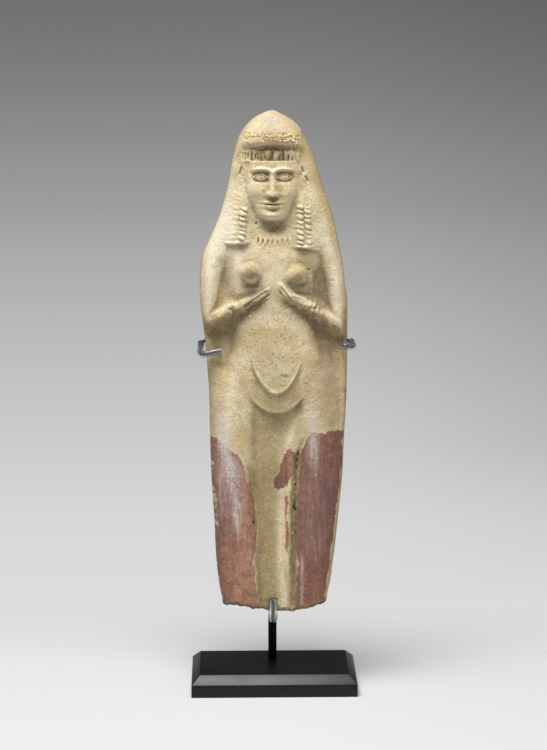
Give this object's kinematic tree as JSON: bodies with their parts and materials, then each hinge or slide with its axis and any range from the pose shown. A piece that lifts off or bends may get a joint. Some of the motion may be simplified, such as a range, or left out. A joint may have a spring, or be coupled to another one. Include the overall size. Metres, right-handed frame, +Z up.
{
  "type": "clay plaque figurine on a display stand",
  "caption": "Moulded clay relief figurine of a standing nude woman with raised hands, broken at the shins, held upright on a small black stand with wire prongs.",
  "frame": {"origin": "centre of the flat underside of the stand's block", "axes": "+Z up, the figure faces -Y, +X to the right as seen from the front"},
  "size_m": [0.06, 0.033, 0.2101],
  "materials": {
    "fired_clay": "buff fired clay with worn red slip on the legs, matt",
    "black_paint": "satin black",
    "dark_steel": "dark blackened wire",
    "clear_tube": "clear flexible tube"
  },
  "bodies": {
    "root": {"base": "black_paint", "post": "black_paint", "figurine": "fired_clay", "left_prong": "dark_steel", "right_prong": "dark_steel", "foot_hook": "dark_steel", "left_sleeve": "clear_tube", "right_sleeve": "clear_tube", "foot_sleeve": "clear_tube"}
  },
  "joints": []
}
